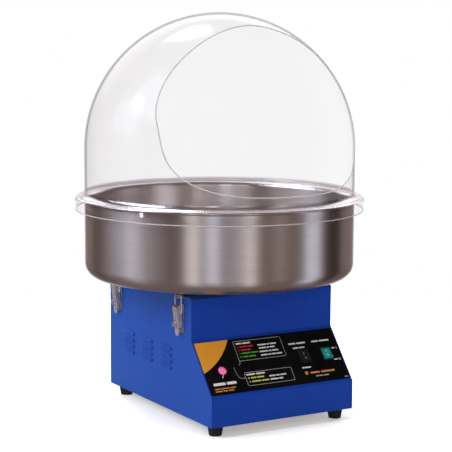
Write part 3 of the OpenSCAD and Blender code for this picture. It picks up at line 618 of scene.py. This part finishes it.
def marked_rows(name, colour, *rows):
    """Rows of words, each (right end, height, shares, hollow), with a ring or a dot before each."""
    start, mark_x, mark_r, hole_r, sides = -72.5, -77.5, 1.9, 1.1, 16
    dashes, dots, rings = [], [], []
    for end, s, shares, hollow in rows:
        dashes += words(start, end, s, 3.3, shares)
        mark = circle(mark_x, s, mark_r, sides)
        if hollow:
            rings.append((mark, circle(mark_x, s, hole_r, sides)))
        else:
            dots.append(mark)
    ink(name, colour, dashes + dots, rings)


marked_rows("print_red", "ink_red", (-37.0, 117.6, (5, 3), True), (-46.0, 109.2, (3, 2), False))
marked_rows("print_green", "ink_green", (-30.0, 101.0, (5, 4), True), (-39.0, 92.2, (3, 4), False))
marked_rows("print_yellow", "ink_yellow", (-38.0, 38.7, (3, 4), False), (-28.0, 29.6, (5, 4), True))
ink(
    "print_tan",
    "ink_tan",
    words(-171.0, -118.0, 21.6, 2.8, (4, 6, 4))
    + words(-171.0, -124.0, 15.6, 2.6, (5, 3, 4))
    + words(84.0, 150.0, 32.0, 4.6, (4, 6))
    + [round_rect(70.0, 29.0, 77.5, 36.5, 1.5, 3)],
)
ink("print_small", "ink_grey", words(95.0, 131.0, 22.5, 2.6, (5, 4)) + words(170.0, 180.0, 12.0, 2.0, (1,)))

# Spun-sugar pictogram: a ball of sugar with strands across it, on a stick


def puff_outline(cx, cy, r, lobes, depth, turn):
    """A ball's outline with shallow lobes."""
    pts = []
    for t in full_turn(90):
        wave = abs(math.cos(lobes * (t + turn) / 2))
        reach = r - depth * (1 - wave)
        pts.append((cx + reach * math.cos(t), cy + reach * math.sin(t)))
    return pts


def strand(cx, cy, r, lean, bow, width):
    """A bowed line across a ball of radius r."""
    across = Vector((math.cos(math.radians(lean)), math.sin(math.radians(lean))))
    aside = Vector((-across.y, across.x))
    shares = (-1.0, -0.6, -0.2, 0.2, 0.6, 1.0)
    points = [Vector((cx, cy)) + across * (r * t) + aside * (bow * (1 - t * t)) for t in shares]
    return stroke([tuple(p) for p in points], width)


PUFF, PUFF_RADIUS = (-137.0, 64.5), 10.6
ink("print_puff", "ink_pink", [puff_outline(*PUFF, PUFF_RADIUS, 9, 1.2, 0.3)])
ink("print_stick", "ink_white", [stroke([(-138.0, 55.0), (-139.6, 51.0), (-142.5, 46.5)], 1.3)])


def puff_strands(bm):
    strands = ((-24.0, 5.5, 0.66), (-28.0, 1.5, 0.80), (-32.0, -3.5, 0.76), (-30.0, -7.5, 0.5))
    for lean, bow, share in strands:
        prism(bm, strand(*PUFF, PUFF_RADIUS * share, lean, bow, 1.1), INK_LOW, STRAND_HIGH, SLOPE)


piece("print_strands", puff_strands, "ink_blush", "machine")

# Each rocker is a shallow V: its faces lean this far either way from its middle
ROCKER_LEAN = math.radians(9.0)


def rocker_marks(name, body, colour):
    """A line and a ring on a rocker's two faces, which move with it."""
    joint = next(j for j in frame["joints"] if j.get("child") == body)
    pivot = Matrix.Translation(Vector(joint["pos_m"]))
    place = pivot @ Matrix.Rotation(SLOPE_ANGLE - ROCKER_LEAN, 4, "X") @ Matrix.Scale(MM, 4)
    face = Matrix.Translation((0, 0, 4.3))
    upper = place @ Matrix.Rotation(ROCKER_LEAN, 4, "X") @ face
    lower = place @ Matrix.Rotation(-ROCKER_LEAN, 4, "X") @ face
    mark_low, mark_high = -0.10, 0.06

    def make(bm):
        prism(bm, round_rect(-0.7, 4.0, 0.7, 9.6, 0.4, 2), mark_low, mark_high, upper)
        band(bm, circle(0.0, -7.0, 3.0), circle(0.0, -7.0, 1.9), mark_low, mark_high, lower)

    piece(name, make, colour, body)


rocker_marks("main_power_marks", "main_power_rocker", "ink_white")
rocker_marks("heat_mode_marks", "heat_mode_rocker", "ink_grey")

# ------------------------------------------------------------------ dome edges


def tube(bm, points, normals, radius):
    """A closed loop of round section along points, with one normal across the path at each point."""
    n, sides = len(points), 10
    rings = []
    for i in range(n):
        along = (points[(i + 1) % n] - points[i - 1]).normalized()
        across = (normals[i] - along * normals[i].dot(along)).normalized()
        third = along.cross(across)
        spokes = [across * math.cos(t) + third * math.sin(t) for t in full_turn(sides)]
        rings.append([bm.verts.new(points[i] + spoke * radius) for spoke in spokes])
    for i in range(n):
        j = (i + 1) % n
        for k in range(sides):
            m = (k + 1) % sides
            bm.faces.new([rings[i][k], rings[i][m], rings[j][m], rings[j][k]])


# The dome's wall: radius of its middle, and the height where the cylinder turns into a sphere
WALL_MID, SPRING = 0.3177, 0.612
# The opening: half width, height of its widest line, reach above and below that line, and how
# square each half is (2 would be an ellipse)
OPEN_HALF, OPEN_Z, OPEN_RISE, OPEN_DROP = 0.257, 0.694, 0.2075, 0.1655
OPEN_UPPER_POWER, OPEN_LOWER_POWER = 1.77, 3.36


def opening_edge(bm):
    """Flame-polished edge that follows the front opening on the dome's wall."""
    points, normals = [], []
    for k in range(240):
        turn = math.radians(1.5 * k)
        upper = turn < math.pi
        power = 2 / (OPEN_UPPER_POWER if upper else OPEN_LOWER_POWER)
        reach = OPEN_RISE if upper else OPEN_DROP
        x = OPEN_HALF * math.copysign(abs(math.cos(turn)) ** power, math.cos(turn))
        z = OPEN_Z + reach * math.copysign(abs(math.sin(turn)) ** power, math.sin(turn))
        rise = max(z - SPRING, 0.0)
        y = -math.sqrt(WALL_MID**2 - x * x - rise * rise)
        points.append(Vector((x, y, z)))
        normals.append(Vector((x, y, rise)).normalized())
    tube(bm, points, normals, 0.0016)


def skirt_edge(bm):
    """Polished edge round the foot of the skirt."""
    radius, foot = 0.3397, Vector((0, 0, 0.4715))
    normals = [Vector((math.cos(t), math.sin(t), 0.0)) for t in full_turn(192)]
    tube(bm, [v * radius + foot for v in normals], normals, 0.0013)


piece("dome_opening_edge", opening_edge, "clear_edge", "dome", smooth=60)
piece("dome_skirt_edge", skirt_edge, "clear_edge", "dome", smooth=60)

# ------------------------------------------------------------------ camera

AZIMUTH, ELEVATION, ROLL = math.radians(-30.32), math.radians(7.67), math.radians(0.29)
DISTANCE, LENS = 3.68759, 123.45
flat = math.cos(ELEVATION)
back = Vector((math.sin(AZIMUTH) * flat, -math.cos(AZIMUTH) * flat, math.sin(ELEVATION)))
right = Vector((math.cos(AZIMUTH), math.sin(AZIMUTH), 0.0))
up = right.cross(-back).normalized()
side = right * math.cos(ROLL) + up * math.sin(ROLL)
top = up * math.cos(ROLL) - right * math.sin(ROLL)
target = right * 0.01579 + Vector((0.0, 0.0, 0.42719))
camera_data = bpy.data.cameras.new("camera")
camera_data.sensor_width = 36.0
camera_data.lens = LENS
camera_data.clip_end = 60.0
camera = bpy.data.objects.new("camera", camera_data)
place = Matrix((side, top, back)).transposed().to_4x4()
place.translation = target + back * DISTANCE
camera.matrix_world = place
bpy.context.scene.collection.objects.link(camera)
bpy.context.scene.camera = camera

# ------------------------------------------------------------------ studio

scene = bpy.context.scene
scene.view_settings.view_transform = "Standard"


def studio():
    """White surround for the camera, and a dim warm room with zones of light for everything else."""
    world = bpy.data.worlds.new("studio")
    scene.world = world
    world.use_nodes = True
    tree = world.node_tree
    tree.nodes.clear()

    def add(kind, links=None, **props):
        return add_node(tree, kind, links, **props)

    def maths(op, a, b=0.0):
        return add("ShaderNodeMath", {0: a, 1: b}, operation=op).outputs[0]

    def step(value, low, high):
        links = {"Value": value, "From Min": low, "From Max": high}
        return add("ShaderNodeMapRange", links, interpolation_type="SMOOTHSTEP").outputs["Result"]

    direction = add("ShaderNodeTexCoord").outputs["Generated"]
    x, y, height = add("ShaderNodeSeparateXYZ", {"Vector": direction}).outputs
    level = maths("SQRT", maths("ADD", maths("MULTIPLY", x, x), maths("MULTIPLY", y, y)))
    total = None

    def plus(colour, strength, mask):
        nonlocal total
        both = add("ShaderNodeCombineXYZ", {0: mask, 1: mask, 2: mask}).outputs[0]
        light = tuple(c * strength for c in colour)
        part = add("ShaderNodeVectorMath", {0: light, 1: both}, operation="MULTIPLY").outputs[0]
        if total is None:
            total = part
        else:
            total = add("ShaderNodeVectorMath", {0: total, 1: part}, operation="ADD").outputs[0]

    def azimuth_mask(degrees, half, soft):
        """1 within half of the azimuth, clockwise from the front as seen from above, 0 beyond soft more."""
        a = math.radians(degrees)
        toward = (math.sin(a), -math.cos(a))
        along = maths("ADD", maths("MULTIPLY", x, toward[0]), maths("MULTIPLY", y, toward[1]))
        cosine = maths("DIVIDE", along, maths("MAXIMUM", level, 1e-4))
        outer = math.cos(math.radians(half + soft))
        inner = math.cos(math.radians(max(half - soft, 0.0)))
        return step(cosine, outer, inner)

    def height_mask(low, high):
        soft = 0.06
        above = step(height, low - soft, low + soft)
        below = maths("SUBTRACT", 1.0, step(height, high - soft, high + soft))
        return maths("MULTIPLY", above, below)

    view = math.degrees(AZIMUTH)
    plus(WARM, ROOM, 1.0)
    for turn, half, soft, low, high, colour, strength in BOXES:
        mask = maths("MULTIPLY", azimuth_mask(view + turn, half, soft), height_mask(low, high))
        plus(colour, strength, mask)
    rays = add("ShaderNodeLightPath").outputs["Is Camera Ray"]
    room = add("ShaderNodeBackground", {"Color": total, "Strength": 1.0})
    white = add("ShaderNodeBackground", {"Color": (1.0, 1.0, 1.0, 1.0), "Strength": 1.0})
    mix = add("ShaderNodeMixShader", {0: rays, 1: room.outputs[0], 2: white.outputs[0]})
    add("ShaderNodeOutputWorld", {"Surface": mix.outputs[0]})


WARM = (1.0, 0.71, 0.65)
PLAIN = (1.0, 1.0, 1.0)
COOL = (0.80, 0.89, 1.06)
ROOM = 0.160
# Zones of light, fixed in the world: turn to the right of the photo's side, half
# width and softness in degrees, lowest and highest sine of elevation, colour, strength. A zone of
# negative strength takes light away.
BOXES = [
    (0.0, 180.0, 0.0, -1.20, -0.66, WARM, 0.75),
    (-76.0, 8.0, 4.0, -0.6, 0.05, COOL, 0.26),
    (-92.0, 15.0, 5.0, 0.14, 0.46, COOL, 2.90),
    (-76.0, 18.0, 6.0, 0.36, 0.80, COOL, 3.80),
    (-128.0, 8.0, 4.0, -0.6, 0.30, WARM, -0.08),
    (-39.0, 7.0, 4.0, -0.2, 0.80, WARM, -0.08),
    (-22.0, 5.0, 3.0, -0.6, 0.05, PLAIN, 0.70),
    (-22.0, 5.0, 3.0, 0.05, 0.36, PLAIN, 1.10),
    (-4.0, 4.5, 3.0, -0.6, 0.05, COOL, 0.46),
    (-6.0, 4.5, 3.0, 0.05, 0.36, COOL, 2.80),
    (27.0, 4.0, 3.0, -0.6, 0.05, PLAIN, 0.80),
    (20.0, 4.0, 2.0, 0.05, 0.36, PLAIN, 1.30),
    (52.0, 4.0, 2.0, 0.10, 0.34, PLAIN, 1.20),
    (12.0, 6.0, 5.0, -0.6, 0.60, COOL, 0.20),
    (60.0, 8.0, 5.0, 0.35, 0.75, PLAIN, 0.50),
    (86.0, 8.0, 4.0, -0.6, 0.15, COOL, 0.76),
    (113.0, 11.0, 3.0, -0.6, 0.40, WARM, -0.135),
    (180.0, 42.0, 16.0, 0.20, 0.58, PLAIN, 2.40),
    (180.0, 42.0, 16.0, 0.58, 1.10, PLAIN, 0.80),
    (180.0, 42.0, 16.0, 0.05, 0.20, PLAIN, 0.80),
    (180.0, 14.0, 9.0, -0.6, 0.07, PLAIN, 0.90),
    (-87.0, 6.5, 2.5, 0.485, 0.525, PLAIN, 16.0),
    (0.0, 180.0, 0.0, 0.92, 1.10, PLAIN, 1.10),
    (202.0, 11.0, 7.0, 0.72, 0.87, PLAIN, 16.0),
]
studio()


def area_light(name, location, aim, size, power):
    data = bpy.data.lights.new(name, "AREA")
    data.energy = power
    data.size = size
    obj = bpy.data.objects.new(name, data)
    obj.location = location
    obj.rotation_mode = "QUATERNION"
    obj.rotation_quaternion = (Vector(aim) - Vector(location)).to_track_quat("-Z", "Y")
    scene.collection.objects.link(obj)
    return obj


# Name, place, aim, size, power; the zones above make the gloss, so these add none
SOFTBOXES = (
    ("overhead_softbox", (0.0, 0.15, 2.9), (0.0, 0.0, 0.3), 2.4, 62.0),
    ("left_softbox", (-2.3, -0.3, 1.7), (0.0, 0.0, 0.22), 1.2, 26.0),
    ("front_softbox", (0.3, -2.4, 1.5), (0.0, 0.0, 0.22), 1.0, 14.0),
)
for softbox in SOFTBOXES:
    area_light(*softbox).visible_glossy = False


def floor_material():
    s = Shader("pale_floor", Roughness=0.55, Specular_IOR_Level=0.1)
    shade = s.blend(s.span(s.noise(1.5, 2.0), 0.0, 1.0, 0.3, 0.7), (0.90, 0.90, 0.90), (0.93, 0.93, 0.93))
    s.set("Base Color", shade)
    s.set("Emission Color", shade)
    s.bsdf.inputs["Emission Strength"].default_value = 0.32
    s.set("Roughness", s.span(s.noise(40.0), 0.5, 0.6, 0.3, 0.7))
    return s.mat


def floor():
    """A round floor, a hair under the feet."""
    radius, drop = 1.6, -0.0002
    bm = bmesh.new()
    bm.faces.new([bm.verts.new((radius * math.cos(t), radius * math.sin(t), drop)) for t in full_turn(96)])
    bmesh.ops.recalc_face_normals(bm, faces=bm.faces)
    mesh = bpy.data.meshes.new("floor")
    bm.to_mesh(mesh)
    bm.free()
    mesh.materials.append(floor_material())
    obj = bpy.data.objects.new("floor", mesh)
    obj.visible_glossy = False
    scene.collection.objects.link(obj)


floor()
